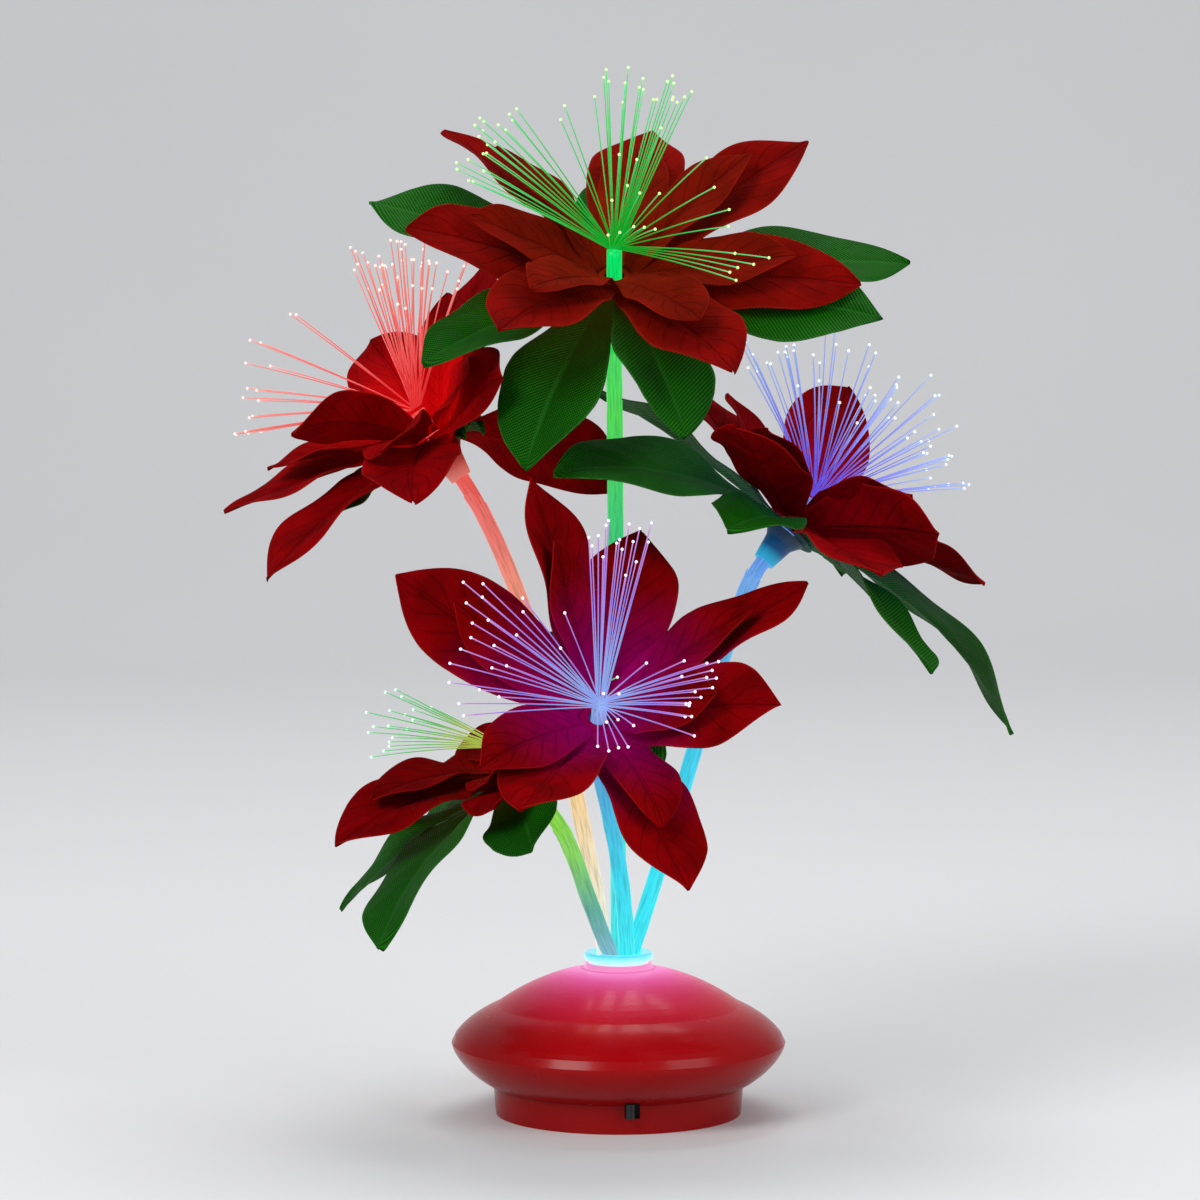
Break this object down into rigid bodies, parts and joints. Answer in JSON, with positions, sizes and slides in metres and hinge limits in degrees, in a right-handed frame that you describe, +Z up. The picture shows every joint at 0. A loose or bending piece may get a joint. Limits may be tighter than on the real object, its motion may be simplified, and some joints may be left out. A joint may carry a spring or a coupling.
{
  "type": "light-up flower centerpiece",
  "caption": "Battery table lamp shaped as a bouquet: fabric flowers with glowing optical-fibre sprays on lit stems that rise from a round glossy base with a slide switch.",
  "frame": {"origin": "on the axis of the round base, at the level of the table", "axes": "+Z up along the base's axis; -Y towards the front, where the switch is; +X to the right seen from the front"},
  "size_m": [0.2243, 0.1774, 0.2993],
  "materials": {
    "base_red": "translucent gloss, lit from inside",
    "collar": "clear, lit",
    "board": "solder mask",
    "led": "clear dome",
    "steel": "plain",
    "spring": "bright wire",
    "cell": "plain sleeve",
    "switch_grey": "satin",
    "switch_black": "satin",
    "lead_red": "satin",
    "lead_black": "satin",
    "calyx": "satin",
    "leaf": "woven, satin",
    "petal": "flocked velvet",
    "top_stem": "film, lit",
    "left_stem": "film, lit",
    "right_stem": "film, lit",
    "front_stem": "film, lit",
    "low_stem": "film, lit",
    "top_fibre": "clear, lit",
    "left_fibre": "clear, lit",
    "right_fibre": "clear, lit",
    "front_fibre": "clear, lit",
    "low_fibre": "clear, lit"
  },
  "bodies": {
    "base": {"top_shell": "base_red", "bottom_shell": "base_red", "light_collar": "collar", "led_board": "board", "leds": "led", "board_screws": "steel", "cells": "cell", "cell_springs": "spring", "cell_plates": "steel", "shell_screws": "steel", "switch_body": "switch_grey", "red_lead": "lead_red", "black_lead": "lead_black", "switch_lead": "lead_red", "top_stem": "top_stem", "top_calyx": "calyx", "top_leaves": "leaf", "top_outer_petals": "petal", "top_inner_petals": "petal", "top_fibres": "top_fibre", "left_stem": "left_stem", "left_calyx": "calyx", "left_leaves": "leaf", "left_outer_petals": "petal", "left_inner_petals": "petal", "left_fibres": "left_fibre", "right_stem": "right_stem", "right_calyx": "calyx", "right_leaves": "leaf", "right_outer_petals": "petal", "right_inner_petals": "petal", "right_fibres": "right_fibre", "front_stem": "front_stem", "front_calyx": "calyx", "front_leaves": "leaf", "front_outer_petals": "petal", "front_inner_petals": "petal", "front_fibres": "front_fibre", "low_stem": "low_stem", "low_calyx": "calyx", "low_leaves": "leaf", "low_outer_petals": "petal", "low_inner_petals": "petal", "low_fibres": "low_fibre"},
    "switch": {"switch_knob": "switch_black"},
    "door": {"battery_door": "base_red", "door_screw": "steel"}
  },
  "joints": [
    {"name": "switch_slide", "type": "slide", "parent": "base", "child": "switch", "axis": [1, 0, 0], "range_m": [0, 0.0012]},
    {"name": "door_hinge", "type": "hinge", "parent": "base", "child": "door", "pos_m": [0, 0.0175, 0.001], "axis": [1, 0, 0], "range_deg": [0, 60]}
  ]
}
